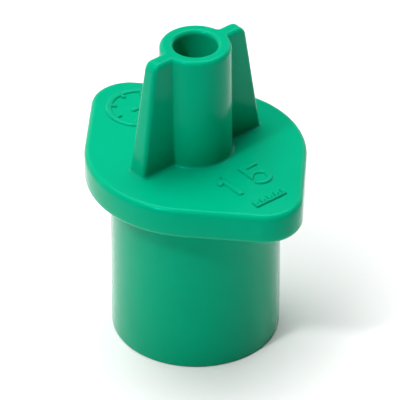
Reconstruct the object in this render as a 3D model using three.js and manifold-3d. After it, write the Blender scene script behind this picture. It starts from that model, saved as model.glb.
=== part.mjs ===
// Straight tube connector, moulded in one piece: an open barrel, a long round-ended finger flange across
// its top, and a slender socket tube held between two wings. The flange carries raised marks.
// Millimetres, +Z up. The origin is the centre of the barrel's open end, which the part stands on.
// The wings point along X, and the flange is long along Y.

import * as THREE from "three";
import { mergeVertices } from "three/addons/utils/BufferGeometryUtils.js";
import Module from "manifold-3d";

const wasm = await Module();
wasm.setup();

// Barrel: the nominal 15 mm male end, open at the bottom
const barrelRadius = 7.7;
const barrelWall = 1.5;
const barrelLength = 16;
const barrelEdgeRound = 0.2;
const barrelSeatDepth = 0.4; // the barrel runs on this far into a round pocket in the flange's underside
const barrelSeatGap = 0.1;

// Flange: a central disc drawn out to a small round end on each side
const flangeThickness = 3;
const flangeRadius = 10;
const flangeEndRadius = 3.5;
const flangeEndOffset = 9.5;
const flangeEdgeRound = 0.55;
const funnelDepth = 1.6; // the air passage narrows from the barrel to the socket bore above the pocket
const funnelStep = 1.2; // ledge between the barrel's bore and the funnel's mouth

// Socket tube: slightly tapered for release from the mould, with a small fillet at its foot
const socketBaseRadius = 3.35;
const socketTopRadius = 3.22;
const socketLength = 11.1;
const socketBoreRadius = 1.9;
const socketFootFillet = 0.5;
const socketRimRound = 0.5;
const socketLipRound = 0.2;

// Wings: two tapered fins beside the socket tube
const wingRise = 0.05; // their tops stand this much above the socket's rim
const wingBaseReach = 6.85;
const wingTopReach = 5.2;
const wingBaseThickness = 2.04;
const wingTopThickness = 1.44;
const wingCornerRound = 0.7;
const wingEdgeRound = 0.3;
const wingGap = 0.3; // clearance between a wing and the tube's side

// Raised marks on the flange: a size number, a short scale under it, and a ring with a pointer
const markRelief = 0.2;
const markStroke = 0.45;
const markShareInside = 0.28; // share of the flange's free length between the socket's foot and the digits
const markShareBetween = 0.32; // share between the digits and the scale
const digitHeight = 3.3;
const digitWidth = 2.1;
const digitPitch = 3.2;
const scaleHeight = 1;
const scaleTicks = 5;
const scalePitch = 0.8;
const scaleStroke = 0.3;
const ringRadius = 2.75;
const ringTicks = 8;
const ringTickLength = 0.5;
const pointerLength = 1.3;

// Fineness of the round shapes
const turnSegments = 72;
const outlineSegments = 12;
const edgeSegments = 4;
const strokeSegments = 5;

// Places that follow from the sizes above
const flangeTop = barrelLength + flangeThickness;
const barrelBoreRadius = barrelRadius - barrelWall;
const socketFootRadius = socketBaseRadius + socketFootFillet;
const wingHeight = socketLength + wingRise;
const flangeFlatEnd = flangeEndOffset + flangeEndRadius - flangeEdgeRound;
const freeLength = flangeFlatEnd - socketFootRadius - digitHeight - scaleHeight;
const digitTop = socketFootRadius + markShareInside * freeLength;
const scaleTop = digitTop + digitHeight + markShareBetween * freeLength;
const digitCentre = digitTop + digitHeight / 2;
const scaleCentre = scaleTop + scaleHeight / 2;
const ringCentre = (socketFootRadius + flangeFlatEnd) / 2;

// The moulded colours: one green plastic, a little lighter on the marks so that they can be told apart
const greenPlastic = { color: 0x00b583, roughness: 0.38, metalness: 0 };
const raisedPlastic = { color: 0x0bc492, roughness: 0.42, metalness: 0 };

// Solids, joined and cut with manifold-3d

function toSolid(geometry) {
  const bare = geometry.clone();
  bare.deleteAttribute("normal");
  bare.deleteAttribute("uv");
  const merged = mergeVertices(bare, 1e-5);
  return new wasm.Manifold(
    new wasm.Mesh({
      numProp: 3,
      vertProperties: merged.attributes.position.array,
      triVerts: new Uint32Array(merged.index.array),
    }),
  );
}

function toGeometry(solid) {
  const mesh = solid.getMesh();
  const indexed = new THREE.BufferGeometry();
  indexed.setAttribute("position", new THREE.BufferAttribute(mesh.vertProperties, 3));
  indexed.setIndex(new THREE.BufferAttribute(mesh.triVerts, 1));
  const geometry = indexed.toNonIndexed();
  geometry.computeVertexNormals();
  return geometry;
}

// A profile of radius against height, turned about Z. It starts and ends on the axis, or is closed here.
function turned(profile) {
  const points = profile.getPoints(edgeSegments / 2);
  if (points[0].x > 0) points.push(points[0].clone());
  const geometry = new THREE.LatheGeometry(points, turnSegments);
  geometry.rotateX(Math.PI / 2);
  return toSolid(geometry);
}

function box(width, depth, height, z) {
  const geometry = new THREE.BoxGeometry(width, depth, height);
  geometry.translate(0, 0, z);
  return toSolid(geometry);
}

function flat(outline, height) {
  const geometry = new THREE.ExtrudeGeometry(outline, {
    depth: height,
    bevelEnabled: false,
    curveSegments: strokeSegments,
  });
  return toSolid(geometry);
}

// A raised bar with round ends, from one point to another.
function bar(x1, y1, x2, y2, width) {
  const along = Math.atan2(y2 - y1, x2 - x1);
  const outline = new THREE.Shape();
  outline.absarc(x2, y2, width / 2, along - Math.PI / 2, along + Math.PI / 2);
  outline.absarc(x1, y1, width / 2, along + Math.PI / 2, along + Math.PI * 1.5);
  return flat(outline, markRelief);
}

// A raised arc with round ends, anticlockwise from one angle to another.
function arc(x, y, radius, start, end, width) {
  const startX = x + radius * Math.cos(start);
  const startY = y + radius * Math.sin(start);
  const endX = x + radius * Math.cos(end);
  const endY = y + radius * Math.sin(end);
  const outline = new THREE.Shape();
  outline.absarc(x, y, radius + width / 2, start, end);
  outline.absarc(endX, endY, width / 2, end, end + Math.PI);
  outline.absarc(x, y, radius - width / 2, end, start, true);
  outline.absarc(startX, startY, width / 2, start + Math.PI, start + Math.PI * 2);
  return flat(outline, markRelief);
}

// Moulded body

function makeBarrel() {
  const top = barrelLength + barrelSeatDepth;
  const profile = new THREE.Path();
  profile.moveTo(barrelBoreRadius, top);
  profile.lineTo(barrelBoreRadius, barrelEdgeRound);
  profile.absarc(
    barrelBoreRadius + barrelEdgeRound,
    barrelEdgeRound,
    barrelEdgeRound,
    Math.PI,
    Math.PI * 1.5,
  );
  profile.absarc(
    barrelRadius - barrelEdgeRound,
    barrelEdgeRound,
    barrelEdgeRound,
    -Math.PI / 2,
    0,
  );
  profile.lineTo(barrelRadius, top);
  return turned(profile);
}

// The disc and its two round ends share straight tangents, which touch the arcs at the angle lean.
function flangeOutline() {
  const lean = Math.asin((flangeRadius - flangeEndRadius) / flangeEndOffset);
  const outline = new THREE.Shape();
  outline.absarc(0, 0, flangeRadius, -lean, lean);
  outline.absarc(0, flangeEndOffset, flangeEndRadius, lean, Math.PI - lean);
  outline.absarc(0, 0, flangeRadius, Math.PI - lean, Math.PI + lean);
  outline.absarc(0, -flangeEndOffset, flangeEndRadius, Math.PI + lean, Math.PI * 2 - lean);
  return outline;
}

// The space inside the flange, cut past both faces: the barrel's pocket, and a funnel to the socket bore.
function makePassage() {
  const pocketRadius = barrelRadius + barrelSeatGap;
  const mouthRadius = barrelBoreRadius - funnelStep;
  const past = 1;
  const profile = new THREE.Path();
  profile.moveTo(0, -past);
  profile.lineTo(pocketRadius, -past);
  profile.lineTo(pocketRadius, barrelSeatDepth);
  profile.lineTo(mouthRadius, barrelSeatDepth);
  profile.lineTo(socketBoreRadius, barrelSeatDepth + funnelDepth);
  profile.lineTo(socketBoreRadius, flangeThickness + past);
  profile.lineTo(0, flangeThickness + past);
  return turned(profile);
}

function makeFlange() {
  const geometry = new THREE.ExtrudeGeometry(flangeOutline(), {
    depth: flangeThickness - 2 * flangeEdgeRound,
    bevelEnabled: true,
    bevelThickness: flangeEdgeRound,
    bevelSize: flangeEdgeRound,
    bevelOffset: -flangeEdgeRound,
    bevelSegments: edgeSegments,
    curveSegments: outlineSegments,
  });
  geometry.translate(0, 0, flangeEdgeRound);
  return toSolid(geometry).subtract(makePassage());
}

// The outside of the socket tube from its foot up to a height, grown by a clearance all along it.
function socketSide(profile, clearance, height) {
  const slope = (socketTopRadius - socketBaseRadius) / (socketLength - socketRimRound);
  const hollow = socketFootFillet - clearance;
  profile.lineTo(socketFootRadius + clearance, 0);
  profile.absarc(socketFootRadius, 0, clearance, 0, Math.PI / 2);
  profile.absarc(socketFootRadius, socketFootFillet, hollow, -Math.PI / 2, -Math.PI, true);
  profile.lineTo(socketBaseRadius + slope * height + clearance, height);
}

function makeSocketTube() {
  const profile = new THREE.Path();
  profile.moveTo(socketBoreRadius, 0);
  socketSide(profile, 0, socketLength - socketRimRound);
  profile.absarc(
    socketTopRadius - socketRimRound,
    socketLength - socketRimRound,
    socketRimRound,
    0,
    Math.PI / 2,
  );
  profile.absarc(
    socketBoreRadius + socketLipRound,
    socketLength - socketLipRound,
    socketLipRound,
    Math.PI / 2,
    Math.PI,
  );
  return turned(profile);
}

// One wing on the +X side. Its outer edge leans in, and its thickness falls towards the top.
function makeWing() {
  const past = 2 * wingEdgeRound; // below the flange's face, cut off at the end
  const lean = (wingBaseReach - wingTopReach) / wingHeight;
  const edge = wingEdgeRound;
  const profile = new THREE.Shape();
  profile.moveTo(0, -past);
  profile.lineTo(wingBaseReach + lean * past, -past);
  profile.lineTo(wingTopReach + lean * wingCornerRound, wingHeight - wingCornerRound);
  profile.quadraticCurveTo(wingTopReach, wingHeight, wingTopReach - wingCornerRound, wingHeight);
  profile.lineTo(0, wingHeight);
  const geometry = new THREE.ExtrudeGeometry(profile, {
    depth: wingBaseThickness - 2 * edge,
    bevelEnabled: true,
    bevelThickness: edge,
    bevelSize: edge,
    bevelOffset: -edge,
    bevelSegments: edgeSegments,
    curveSegments: edgeSegments,
  });
  geometry.translate(0, 0, edge - wingBaseThickness / 2);
  geometry.rotateX(Math.PI / 2);

  const points = geometry.attributes.position;
  for (let i = 0; i < points.count; i++) {
    const up = points.getZ(i) / wingHeight;
    const thickness = THREE.MathUtils.lerp(wingBaseThickness, wingTopThickness, up);
    points.setY(i, (points.getY(i) * thickness) / wingBaseThickness);
  }

  const tubeSpace = new THREE.Path();
  tubeSpace.moveTo(0, -2 * past);
  tubeSpace.lineTo(socketFootRadius + wingGap, -2 * past);
  socketSide(tubeSpace, wingGap, wingHeight + past);
  tubeSpace.lineTo(0, wingHeight + past);

  const below = box(4 * wingBaseReach, 4 * wingBaseReach, 4 * past, -2 * past);
  return toSolid(geometry).subtract(turned(tubeSpace)).subtract(below);
}

// Raised marks, each standing on z = 0

function makeDigitOne() {
  const x = markStroke / 2;
  const y = (digitHeight - markStroke) / 2;
  const flag = digitWidth / 3;
  return bar(x, -y, x, y, markStroke).add(bar(x, y, x - flag, y - flag, markStroke));
}

function makeDigitFive() {
  const x = (digitWidth - markStroke) / 2;
  const y = (digitHeight - markStroke) / 2;
  const bowl = 0.62 * y;
  const shoulder = Math.PI * 0.75;
  const bowlX = x - bowl;
  const bowlY = bowl - y;
  const footX = bowlX + bowl * Math.cos(shoulder);
  const footY = bowlY + bowl * Math.sin(shoulder);
  return bar(x, y, footX, y, markStroke)
    .add(bar(footX, y, footX, footY, markStroke))
    .add(arc(bowlX, bowlY, bowl, -Math.PI * 0.8, shoulder, markStroke));
}

function makeScale() {
  const half = ((scaleTicks - 1) * scalePitch) / 2;
  const low = (scaleStroke - scaleHeight) / 2;
  let scale = bar(-half, low, half, low, scaleStroke);
  for (let i = 0; i < scaleTicks; i++) {
    const x = i * scalePitch - half;
    scale = scale.add(bar(x, low, x, -low, scaleStroke));
  }
  return scale;
}

function makeRing() {
  const profile = new THREE.Path();
  profile.moveTo(ringRadius - markStroke / 2, 0);
  profile.lineTo(ringRadius + markStroke / 2, 0);
  profile.lineTo(ringRadius + markStroke / 2, markRelief);
  profile.lineTo(ringRadius - markStroke / 2, markRelief);
  let ring = turned(profile);
  for (let i = 0; i < ringTicks; i++) {
    const angle = (i * Math.PI * 2) / ringTicks;
    const inner = ringRadius - ringTickLength;
    const x = Math.cos(angle);
    const y = Math.sin(angle);
    ring = ring.add(bar(ringRadius * x, ringRadius * y, inner * x, inner * y, scaleStroke));
  }
  return ring;
}

function makePointer() {
  return bar(-pointerLength / 2, 0, pointerLength / 2, 0, markStroke);
}

// Assembly

const connector = new THREE.Group();
connector.name = "tube_connector";

function place(name, solid, look, x, y, z) {
  const mesh = new THREE.Mesh(toGeometry(solid), new THREE.MeshStandardMaterial(look));
  mesh.name = name;
  mesh.position.set(x, y, z);
  connector.add(mesh);
  return mesh;
}

place("barrel", makeBarrel(), greenPlastic, 0, 0, 0);
place("flange", makeFlange(), greenPlastic, 0, 0, barrelLength);
place("socket_tube", makeSocketTube(), greenPlastic, 0, 0, flangeTop);
place("wing_right", makeWing(), greenPlastic, 0, 0, flangeTop);
place("wing_left", makeWing(), greenPlastic, 0, 0, flangeTop).rotation.z = Math.PI;

place("size_digit_1", makeDigitOne(), raisedPlastic, -digitPitch / 2, -digitCentre, flangeTop);
place("size_digit_5", makeDigitFive(), raisedPlastic, digitPitch / 2, -digitCentre, flangeTop);
place("size_scale", makeScale(), raisedPlastic, 0, -scaleCentre, flangeTop);
place("mould_ring", makeRing(), raisedPlastic, 0, ringCentre, flangeTop);
place("mould_pointer", makePointer(), raisedPlastic, 0, ringCentre, flangeTop);

export default connector;
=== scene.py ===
import bpy
import bmesh
import math
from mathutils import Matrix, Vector


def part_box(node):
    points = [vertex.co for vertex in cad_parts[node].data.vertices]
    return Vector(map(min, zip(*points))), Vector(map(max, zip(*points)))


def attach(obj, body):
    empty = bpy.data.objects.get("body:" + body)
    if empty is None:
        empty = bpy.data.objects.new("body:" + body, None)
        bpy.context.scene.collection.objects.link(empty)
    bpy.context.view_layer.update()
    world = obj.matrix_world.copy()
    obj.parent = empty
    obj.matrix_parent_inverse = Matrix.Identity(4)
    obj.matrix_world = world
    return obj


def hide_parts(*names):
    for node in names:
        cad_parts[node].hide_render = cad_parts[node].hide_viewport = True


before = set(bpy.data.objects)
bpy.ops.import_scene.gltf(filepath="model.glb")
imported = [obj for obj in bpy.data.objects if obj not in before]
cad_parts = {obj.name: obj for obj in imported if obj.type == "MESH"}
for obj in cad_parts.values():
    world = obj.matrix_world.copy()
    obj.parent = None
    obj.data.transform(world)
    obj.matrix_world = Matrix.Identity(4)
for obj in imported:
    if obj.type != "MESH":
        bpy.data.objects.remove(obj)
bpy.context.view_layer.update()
scene = bpy.context.scene
mm = 0.001
print("frame: %d nodes" % len(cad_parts))

# the camera stands in front of the -Y end, turned towards the left wing
cameraSetup = {
    "azimuth": math.radians(-39.354),
    "elevation": math.radians(35.465),
    "distance": 394.714 * mm,
    "lens": 392.55,  # a long lens, so the flange's sides stay nearly parallel
    "sensor": 36,
    "nearest": 0.01,
    "aimHeight": 13.193 * mm,
    "aimRight": 0.402 * mm,
}


# azimuth 0 looks from -Y, and 90 degrees from +X
def directionTo(azimuth, elevation):
    return Vector((
        math.sin(azimuth) * math.cos(elevation),
        -math.cos(azimuth) * math.cos(elevation),
        math.sin(elevation),
    ))


def addCamera(setup):
    back = directionTo(setup["azimuth"], setup["elevation"])
    right = Vector((math.cos(setup["azimuth"]), math.sin(setup["azimuth"]), 0))
    data = bpy.data.cameras.new("camera")
    data.lens = setup["lens"]
    data.sensor_width = setup["sensor"]
    data.clip_start = setup["nearest"]
    camera = bpy.data.objects.new("camera", data)
    camera.rotation_mode = "QUATERNION"
    camera.rotation_quaternion = (-back).to_track_quat("-Z", "Y")
    aim = Vector((0, 0, setup["aimHeight"])) + right * setup["aimRight"]
    camera.location = aim + back * setup["distance"]
    scene.collection.objects.link(camera)
    scene.camera = camera


addCamera(cameraSetup)

# sizes that the CAD nodes fix
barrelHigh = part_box("barrel")[1]
flangeLow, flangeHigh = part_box("flange")
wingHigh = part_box("wing_right")[1]
underside = flangeLow.z
flangeTop = flangeHigh.z


def mix(a, b, share):
    return a + (b - a) * share


def arcPoints(x, y, radius, start, end, steps):
    turn = (end - start) / steps
    return [
        (x + radius * math.cos(start + i * turn), y + radius * math.sin(start + i * turn))
        for i in range(steps + 1)
    ]


# a quarter outline from the +X axis to the +Y axis, mirrored twice into a closed loop
def fourQuarters(quarter):
    left = [(-x, y) for x, y in reversed(quarter)]
    top = quarter + left[1:]
    bottom = [(x, -y) for x, y in reversed(top)]
    return top + bottom[1:-1]


# a circle with as many points as the outline, each in the same direction from the middle
def circleLike(outline, radius):
    loop = []
    for x, y in outline:
        away = math.hypot(x, y)
        loop.append((x * radius / away, y * radius / away))
    return loop


# extrudes a loop of edges from level to level, moving it onto each level's outline,
# then joins the last loop to the first or closes both with a face
def loft(bm, levels, joined):
    outline, z = levels[0]
    ring = [bm.verts.new((x, y, z)) for x, y in outline]
    edges = [bm.edges.new((ring[i - 1], ring[i])) for i in range(len(ring))]
    firstEdges = edges
    for outline, z in levels[1:]:
        old = set(ring)
        made = bmesh.ops.extrude_edge_only(bm, edges=edges)["geom"]
        onward = {}
        for vert in [item for item in made if isinstance(item, bmesh.types.BMVert)]:
            for edge in vert.link_edges:
                if edge.other_vert(vert) in old:
                    onward[edge.other_vert(vert)] = vert
        ring = [onward[vert] for vert in ring]
        for vert, (x, y) in zip(ring, outline):
            vert.co = (x, y, z)
        edges = [bm.edges.get((ring[i - 1], ring[i])) for i in range(len(ring))]
    if joined:
        bmesh.ops.bridge_loops(bm, edges=firstEdges + edges)
    else:
        bmesh.ops.edgeloop_fill(bm, edges=firstEdges)
        bmesh.ops.edgeloop_fill(bm, edges=edges)


# turns a closed profile of (radius, z) points right round a vertical axis
def spinProfile(bm, profile, centre, steps):
    verts = [bm.verts.new((centre[0] + r, centre[1], z)) for r, z in profile]
    edges = [bm.edges.new((verts[i - 1], verts[i])) for i in range(len(verts))]
    bmesh.ops.spin(
        bm,
        geom=verts + edges,
        cent=(centre[0], centre[1], 0),
        axis=(0, 0, 1),
        angle=math.tau,
        steps=steps,
        use_merge=True,
    )


def finishPiece(name, bm, material, nodes, sharpAngle=math.radians(40)):
    bmesh.ops.remove_doubles(bm, verts=bm.verts, dist=0.0005 * mm)
    bmesh.ops.recalc_face_normals(bm, faces=bm.faces)
    mesh = bpy.data.meshes.new(name)
    bm.to_mesh(mesh)
    bm.free()
    mesh.shade_smooth()
    mesh.set_sharp_from_angle(angle=sharpAngle)
    mesh.materials.append(material)
    piece = bpy.data.objects.new(name, mesh)
    scene.collection.objects.link(piece)
    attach(piece, "root")
    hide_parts(*nodes)
    return piece


def linear(hexColour):
    parts = [int(hexColour[i:i + 2], 16) / 255 for i in (1, 3, 5)]
    return tuple(c / 12.92 if c <= 0.04045 else ((c + 0.055) / 1.055) ** 2.4 for c in parts) + (1,)


# inputs may be other nodes' sockets or plain values
def addNode(tree, kind, inputs=None, **settings):
    node = tree.nodes.new(kind)
    for name, value in settings.items():
        if hasattr(node, name):
            setattr(node, name, value)
        else:
            node.inputs[name.replace("_", " ")].default_value = value
    for socket, source in (inputs or {}).items():
        if isinstance(source, bpy.types.NodeSocket):
            tree.links.new(source, node.inputs[socket])
        else:
            node.inputs[socket].default_value = source
    return node


# injection moulded polypropylene, coloured through: a satin gloss from a polished mould, an even green,
# a little light bleeding under the surface, and a hardly visible waviness where the melt cooled
polypropylene = {
    "deepGreen": "#009870",
    "paleGreen": "#009c74",
    "cloudSize": 11.1 * mm,  # the colour drifts over about a centimetre
    "waveSize": 1.43 * mm,
    "waveDepth": 0.02 * mm,
    "waveStrength": 0.05,
    "polished": 0.13,
    "satin": 0.17,
    "ior": 1.49,
    "specularLevel": 0.15,
    "specularTint": "#00ffea",
    "bleedShare": 0.18,
    "bleedDepth": 1.0 * mm,
    "bleedColours": (0.2, 1.0, 0.6),
}


def mouldedPolypropylene(look):
    material = bpy.data.materials.new("mouldedPolypropylene")
    material.use_nodes = True
    tree = material.node_tree
    tree.nodes.clear()
    place = addNode(tree, "ShaderNodeTexCoord")
    cloud = addNode(
        tree,
        "ShaderNodeTexNoise",
        {"Vector": place.outputs["Object"]},
        Scale=1 / look["cloudSize"],
        Detail=3,
    )
    tint = addNode(tree, "ShaderNodeValToRGB", {"Fac": cloud.outputs["Fac"]})
    tint.color_ramp.elements[0].position = 0.35
    tint.color_ramp.elements[0].color = linear(look["deepGreen"])
    tint.color_ramp.elements[1].position = 0.65
    tint.color_ramp.elements[1].color = linear(look["paleGreen"])
    wave = addNode(
        tree,
        "ShaderNodeTexNoise",
        {"Vector": place.outputs["Object"]},
        Scale=1 / look["waveSize"],
        Detail=4,
    )
    bump = addNode(
        tree,
        "ShaderNodeBump",
        {"Height": wave.outputs["Fac"]},
        Strength=look["waveStrength"],
        Distance=look["waveDepth"],
    )
    gloss = addNode(
        tree,
        "ShaderNodeMapRange",
        {"Value": cloud.outputs["Fac"]},
        To_Min=look["polished"],
        To_Max=look["satin"],
    )
    shader = addNode(
        tree,
        "ShaderNodeBsdfPrincipled",
        {
            "Base Color": tint.outputs["Color"],
            "Roughness": gloss.outputs["Result"],
            "Normal": bump.outputs["Normal"],
        },
        IOR=look["ior"],
        Specular_IOR_Level=look["specularLevel"],
        Specular_Tint=linear(look["specularTint"]),
        Subsurface_Weight=look["bleedShare"],
        Subsurface_Radius=look["bleedColours"],
        Subsurface_Scale=look["bleedDepth"],
    )
    addNode(tree, "ShaderNodeOutputMaterial", {"Surface": shader.outputs["BSDF"]})
    return material


plastic = mouldedPolypropylene(polypropylene)

barrel = {
    "radius": barrelHigh.x,
    "wall": 1.5 * mm,
    "edge": 0.2 * mm,
    "fillet": 0.3 * mm,  # under the flange
    "steps": 160,
    "edgeSteps": 5,
    "filletSteps": 6,
}


def makeBarrel(size):
    outer, edge, fillet = size["radius"], size["edge"], size["fillet"]
    bore = outer - size["wall"]
    profile = [(bore, underside)]
    profile += arcPoints(bore + edge, edge, edge, math.pi, math.pi * 1.5, size["edgeSteps"])
    profile += arcPoints(outer - edge, edge, edge, -math.pi / 2, 0, size["edgeSteps"])
    foot = underside - fillet
    profile += arcPoints(outer + fillet, foot, fillet, math.pi, math.pi / 2, size["filletSteps"])
    bm = bmesh.new()
    spinProfile(bm, profile, (0, 0), size["steps"])
    finishPiece("barrel", bm, plastic, ["barrel"])


makeBarrel(barrel)
print("barrel made")

flange = {
    "radius": flangeHigh.x,
    "endRadius": 3.5 * mm,
    "length": flangeHigh.y,
    "topEdge": 0.55 * mm,
    "bottomEdge": 0.55 * mm,
    "mouth": 5.0 * mm,  # the funnel of the air passage
    "mouthDepth": 0.4 * mm,
    "funnelDepth": 2.0 * mm,
    "bore": 1.9 * mm,
    "steps": 30,
    "topSteps": 8,
    "bottomSteps": 6,
}


# a disc drawn out to two small round ends, with straight sides that touch both
def flangeOutline(size, inset):
    middle, end = size["radius"], size["endRadius"]
    offset = size["length"] - end
    lean = math.asin((middle - end) / offset)
    quarter = arcPoints(0, 0, middle - inset, 0, lean, size["steps"])
    quarter += arcPoints(0, offset, end - inset, lean, math.pi / 2, size["steps"])
    return fourQuarters(quarter)


def makeFlange(size):
    outline = flangeOutline(size, 0)
    top, bottom = size["topEdge"], size["bottomEdge"]
    boreLoop = circleLike(outline, size["bore"])
    barrelLoop = circleLike(outline, barrel["radius"] - barrel["wall"])
    levels = [
        (boreLoop, flangeTop),
        (boreLoop, underside + size["funnelDepth"]),
        (circleLike(outline, size["mouth"]), underside + size["mouthDepth"]),
        (barrelLoop, underside + size["mouthDepth"]),
        (barrelLoop, underside),
    ]
    lower = arcPoints(bottom, bottom, bottom, -math.pi / 2, -math.pi, size["bottomSteps"])
    for shrink, up in lower:
        levels.append((flangeOutline(size, shrink), underside + up))
    upper = arcPoints(top, -top, top, math.pi, math.pi / 2, size["topSteps"])
    for shrink, up in upper:
        levels.append((flangeOutline(size, shrink), flangeTop + up))
    bm = bmesh.new()
    loft(bm, levels, True)
    finishPiece("flange", bm, plastic, ["flange"])


makeFlange(flange)
print("flange made")

socket = {
    "height": wingHigh.z - flangeTop,
    "baseRadius": 3.35 * mm,
    "topRadius": 3.22 * mm,
    "bore": flange["bore"],
    "mouth": 1.96 * mm,
    "lip": 0.42 * mm,
    "foot": 0.3 * mm,
    "reach": wingHigh.x,
    "topReach": 5.2 * mm,
    "thickness": 2.04 * mm,
    "topThickness": 1.44 * mm,
    "corner": 0.8 * mm,
    "edge": 0.42 * mm,
    "edgeRound": 0.4 * mm,
    "leastRound": 0.06 * mm,
    "web": 0.25 * mm,  # fillet between a wing and the tube
    "split": 3.9 * mm,  # where a wing's piece meets the tube's
    "footSteps": 7,
    "wallSteps": 14,
    "topSteps": 14,
    "lipSteps": 7,
    "roundSteps": 8,
    "tubeSteps": 26,
}


# the tube and its wings seen from above: a circle with two blades, faired into it by small fillets
def wingedOutline(radius, reach, half, web, corner):
    out = math.sqrt((radius + web) ** 2 - (half + web) ** 2)
    join = math.atan2(half + web, out)
    quarter = [(reach, 0)]
    quarter += arcPoints(reach - corner, half - corner, corner, 0, math.pi / 2, socket["roundSteps"])
    quarter += arcPoints(out, half + web, web, -math.pi / 2, join - math.pi, socket["roundSteps"])
    quarter += arcPoints(0, 0, radius, join, math.pi / 2, socket["tubeSteps"])[1:]
    return fourQuarters(quarter)


# the outline at a height, grown all round by one length and with the wings' tips drawn back by another
def socketLevel(size, height, grow, wingBack):
    share = height / size["height"]
    half = mix(size["thickness"], size["topThickness"], share) / 2 + grow
    return wingedOutline(
        mix(size["baseRadius"], size["topRadius"], share) + grow,
        mix(size["reach"], size["topReach"], share) + max(grow, 0) - wingBack,
        half,
        size["web"] - grow,
        min(max(size["edgeRound"] + grow, size["leastRound"]), half * 0.95),
    )


# how far a rounded edge stands back at a depth below its top
def roundBack(radius, below):
    return radius - math.sqrt(max(radius ** 2 - max(radius - below, 0) ** 2, 0))


def loftSocket(size):
    height, foot, corner, lip = size["height"], size["foot"], size["corner"], size["lip"]
    levels = []
    for grow, up in arcPoints(foot, foot, foot, -math.pi / 2, -math.pi, size["footSteps"]):
        levels.append((socketLevel(size, up, grow, 0), flangeTop + up))
    for i in range(1, size["wallSteps"] + 1):
        up = mix(foot, height - corner, i / size["wallSteps"])
        levels.append((socketLevel(size, up, 0, 0), flangeTop + up))
    for i in range(1, size["topSteps"] + 1):
        below = corner * (1 - math.sin(i / size["topSteps"] * math.pi / 2))
        grow, wingBack = -roundBack(size["edge"], below), roundBack(corner, below)
        levels.append((socketLevel(size, height - below, grow, wingBack), flangeTop + height - below))
    outline = levels[-1][0]
    for shrink, down in arcPoints(0, 0, lip, math.pi / 2, math.pi, size["lipSteps"]):
        mouth = circleLike(outline, size["mouth"] + lip + shrink)
        levels.append((mouth, flangeTop + height - lip + down))
    levels.append((circleLike(outline, size["bore"]), flangeTop))
    bm = bmesh.new()
    loft(bm, levels, True)
    return bm


# cuts the loft at a plane across X, drops the side that the normal points to and closes the cut
def cutAcross(bm, x, side):
    cut = bmesh.ops.bisect_plane(
        bm,
        geom=bm.verts[:] + bm.edges[:] + bm.faces[:],
        dist=0.0001 * mm,
        plane_co=(x, 0, 0),
        plane_no=(side, 0, 0),
        clear_outer=True,
    )
    edges = [item for item in cut["geom_cut"] if isinstance(item, bmesh.types.BMEdge)]
    bmesh.ops.edgeloop_fill(bm, edges=edges)


def makeSocket(size):
    split = size["split"]
    tube = loftSocket(size)
    cutAcross(tube, split, 1)
    cutAcross(tube, -split, -1)
    finishPiece("socketTube", tube, plastic, ["socket_tube"])
    right = loftSocket(size)
    cutAcross(right, split, -1)
    finishPiece("wingRight", right, plastic, ["wing_right"])
    left = loftSocket(size)
    cutAcross(left, -split, 1)
    finishPiece("wingLeft", left, plastic, ["wing_left"])


makeSocket(socket)
print("socket and wings made")

marks = {
    "relief": 0.19 * mm,
    "sunk": 0.03 * mm,
    "stroke": 0.6 * mm,
    "fineStroke": 0.36 * mm,
    "crown": math.radians(72),  # how far round each stroke's rounded top is drawn
    "crownSteps": 6,
    "endSteps": 8,
    "flagShare": 0.95,  # the 1's flag is a little finer than its stem
    "bowlShare": 0.62,
    "bowlStart": math.radians(135),
    "bowlEnd": math.radians(-144),
    "bowlSteps": 26,
    "tickShare": 0.7,
    "ringRadius": 2.75 * mm,
    "tickLength": 0.6 * mm,
    "ringTicks": 8,
    "ringSteps": 96,
    "ringRoundSteps": 12,
    "scaleTicks": 9,
    "shortTick": 0.55,
}


# the left side of a stroke along a path, mitred at its corners
def strokeSide(path, half):
    ways = [Vector((b[0] - a[0], b[1] - a[1])).normalized() for a, b in zip(path, path[1:])]
    side = []
    for i, (x, y) in enumerate(path):
        before, after = ways[max(i - 1, 0)], ways[min(i, len(ways) - 1)]
        across = Vector((-before.y - after.y, before.x + after.x)) / (1 + before.dot(after))
        side.append((x + across.x * half, y + across.y * half))
    return side


# both sides of a stroke, with round ends
def strokeOutline(path, half):
    outline = []
    for way in (path, path[::-1]):
        (x0, y0), (x, y) = way[-2:]
        ahead = math.atan2(y - y0, x - x0)
        outline += strokeSide(way, half)[:-1]
        outline += arcPoints(x, y, half, ahead + math.pi / 2, ahead - math.pi / 2, marks["endSteps"])
    return outline


# raised beads with a rounded top, as they come out of strokes cut in the mould
def addStroke(bm, path, width):
    levels = [(strokeOutline(path, width / 2), flangeTop - marks["sunk"])]
    for i in range(marks["crownSteps"] + 1):
        turn = marks["crown"] * i / marks["crownSteps"]
        rise = marks["relief"] * math.sin(turn) / math.sin(marks["crown"])
        levels.append((strokeOutline(path, width / 2 * math.cos(turn)), flangeTop + rise))
    loft(bm, levels, False)


# a node's centre and half sizes seen from above
def nodeCentre(node):
    low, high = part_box(node)
    return (low.x + high.x) / 2, (low.y + high.y) / 2, (high.x - low.x) / 2, (high.y - low.y) / 2


def makeDigitOne():
    x, y, halfWidth, halfHeight = nodeCentre("size_digit_1")
    reachY = halfHeight - marks["stroke"] / 2
    stem = x + halfWidth - marks["stroke"] / 2
    flag = x - halfWidth + marks["stroke"] / 2
    bm = bmesh.new()
    addStroke(bm, [(stem, y - reachY), (stem, y + reachY)], marks["stroke"])
    flagEnds = [(stem, y + reachY), (flag, y + reachY - (stem - flag))]
    addStroke(bm, flagEnds, marks["stroke"] * marks["flagShare"])
    finishPiece("sizeDigit1", bm, plastic, ["size_digit_1"])


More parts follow.
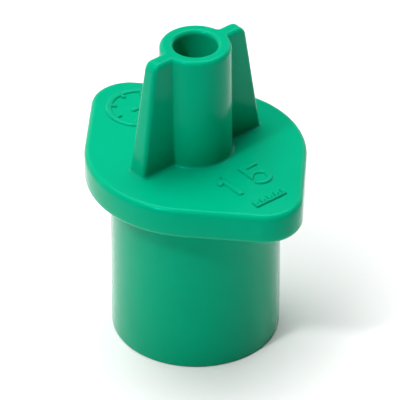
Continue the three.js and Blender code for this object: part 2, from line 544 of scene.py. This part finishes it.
def makeDigitFive():
    x, y, halfWidth, halfHeight = nodeCentre("size_digit_5")
    reachX = halfWidth - marks["stroke"] / 2
    reachY = halfHeight - marks["stroke"] / 2
    bowl = marks["bowlShare"] * reachY
    bowlX, bowlY = x + reachX - bowl, y + bowl - reachY
    curve = arcPoints(bowlX, bowlY, bowl, marks["bowlStart"], marks["bowlEnd"], marks["bowlSteps"])
    corner = (curve[0][0], y + reachY)
    bm = bmesh.new()
    addStroke(bm, [(x + reachX, y + reachY), corner] + curve, marks["stroke"])
    finishPiece("sizeDigit5", bm, plastic, ["size_digit_5"])


def makeScale():
    x, y, halfWidth, halfHeight = nodeCentre("size_scale")
    fine = marks["fineStroke"]
    low, high = y - halfHeight + fine / 2, y + halfHeight - fine / 2
    left, right = x - halfWidth + fine / 2, x + halfWidth - fine / 2
    bm = bmesh.new()
    addStroke(bm, [(left, low), (right, low)], fine)
    for i in range(marks["scaleTicks"]):
        tickX = mix(left, right, i / (marks["scaleTicks"] - 1))
        tickTop = mix(low, high, marks["shortTick"]) if i % 2 else high
        addStroke(bm, [(tickX, low), (tickX, tickTop)], fine * marks["tickShare"])
    finishPiece("sizeScale", bm, plastic, ["size_scale"])


def makeRing():
    x, y = nodeCentre("mould_ring")[:2]
    radius, half = marks["ringRadius"], marks["stroke"] / 2
    low = flangeTop - marks["sunk"]
    profile = [(radius - half, low), (radius + half, low)]
    for i in range(marks["ringRoundSteps"] + 1):
        turn = math.pi * i / marks["ringRoundSteps"]
        profile.append((radius + half * math.cos(turn), flangeTop + marks["relief"] * math.sin(turn)))
    bm = bmesh.new()
    spinProfile(bm, profile, (x, y), marks["ringSteps"])
    for i in range(marks["ringTicks"]):
        turn = math.tau * i / marks["ringTicks"]
        inner = radius - marks["tickLength"]
        ends = [(x + r * math.cos(turn), y + r * math.sin(turn)) for r in (radius, inner)]
        addStroke(bm, ends, marks["fineStroke"])
    finishPiece("mouldRing", bm, plastic, ["mould_ring"])


def makePointer():
    x, y, halfWidth = nodeCentre("mould_pointer")[:3]
    reach = halfWidth - marks["stroke"] / 2
    bm = bmesh.new()
    addStroke(bm, [(x - reach, y), (x + reach, y)], marks["stroke"])
    finishPiece("mouldPointer", bm, plastic, ["mould_pointer"])


makeDigitOne()
makeDigitFive()
makeScale()
makeRing()
makePointer()
print("raised marks made")

floor = {
    "size": 4.0,
    "colour": "#e9e9e9",
    "roughness": 0.9,
}


def addFloor(setup):
    bm = bmesh.new()
    bmesh.ops.create_grid(bm, x_segments=1, y_segments=1, size=setup["size"] / 2)
    mesh = bpy.data.meshes.new("floor")
    bm.to_mesh(mesh)
    bm.free()
    material = bpy.data.materials.new("whiteCard")
    material.use_nodes = True
    shader = material.node_tree.nodes["Principled BSDF"]
    shader.inputs["Base Color"].default_value = linear(setup["colour"])
    shader.inputs["Roughness"].default_value = setup["roughness"]
    mesh.materials.append(material)
    piece = bpy.data.objects.new("floor", mesh)
    scene.collection.objects.link(piece)


addFloor(floor)


# soft boxes to the left of the object, all the same distance away, in metres and watts
lamps = [
    {"name": "keyBroad", "azimuth": -84, "elevation": 56, "width": 0.3, "power": 0.9},
    {"name": "keyHigh", "azimuth": -112, "elevation": 66, "width": 0.3, "power": 0.72},
    {"name": "keyCore", "azimuth": -86, "elevation": 52, "width": 0.06, "power": 1.4},
]
lampDistance = 0.6
lampAim = Vector((0, 0, 15 * mm))


def addLamp(lamp):
    data = bpy.data.lights.new(lamp["name"], "AREA")
    data.shape = "SQUARE"
    data.size = lamp["width"]
    data.energy = lamp["power"]
    light = bpy.data.objects.new(lamp["name"], data)
    away = directionTo(math.radians(lamp["azimuth"]), math.radians(lamp["elevation"]))
    light.location = lampAim + away * lampDistance
    light.rotation_mode = "QUATERNION"
    light.rotation_quaternion = (-away).to_track_quat("-Z", "Y")
    scene.collection.objects.link(light)


for lamp in lamps:
    addLamp(lamp)

# a bright sweep of white card behind the object, as soft lobes of light round these directions
backdrop = [
    {"azimuth": -178, "elevation": 68, "spread": 26, "strength": 7.0},
    {"azimuth": 115, "elevation": 66, "spread": 26, "strength": 7.0},
    {"azimuth": -180, "elevation": 18, "spread": 14, "strength": 1.1},
    {"azimuth": -135, "elevation": 18, "spread": 14, "strength": 1.1},
    {"azimuth": 100, "elevation": 18, "spread": 14, "strength": 1.2},
]


# the camera sees plain white, and everything else is lit by the lobes
def lightTent(lobes):
    world = bpy.data.worlds.new("lightTent")
    scene.world = world
    world.use_nodes = True
    tree = world.node_tree
    tree.nodes.clear()
    place = addNode(tree, "ShaderNodeTexCoord")
    total = None
    for lobe in lobes:
        away = directionTo(math.radians(lobe["azimuth"]), math.radians(lobe["elevation"]))
        facing = addNode(
            tree,
            "ShaderNodeVectorMath",
            {0: place.outputs["Generated"], 1: away},
            operation="DOT_PRODUCT",
        )
        front = addNode(
            tree,
            "ShaderNodeMath",
            {0: facing.outputs["Value"], 1: 0},
            operation="MAXIMUM",
        )
        soft = addNode(
            tree,
            "ShaderNodeMath",
            {0: front.outputs["Value"], 1: lobe["spread"]},
            operation="POWER",
        )
        bright = addNode(
            tree,
            "ShaderNodeMath",
            {0: soft.outputs["Value"], 1: lobe["strength"]},
            operation="MULTIPLY",
        )
        if total is None:
            total = bright
        else:
            total = addNode(
                tree,
                "ShaderNodeMath",
                {0: total.outputs["Value"], 1: bright.outputs["Value"]},
                operation="ADD",
            )
    white = linear("#ffffff")
    lit = addNode(
        tree,
        "ShaderNodeBackground",
        {"Strength": total.outputs["Value"]},
        Color=white,
    )
    seen = addNode(tree, "ShaderNodeBackground", Color=white, Strength=1.0)
    ray = addNode(tree, "ShaderNodeLightPath")
    choose = addNode(
        tree,
        "ShaderNodeMixShader",
        {
            0: ray.outputs["Is Camera Ray"],
            1: lit.outputs["Background"],
            2: seen.outputs["Background"],
        },
    )
    addNode(tree, "ShaderNodeOutputWorld", {"Surface": choose.outputs["Shader"]})


lightTent(backdrop)
scene.view_settings.view_transform = "Standard"
print("lights made")
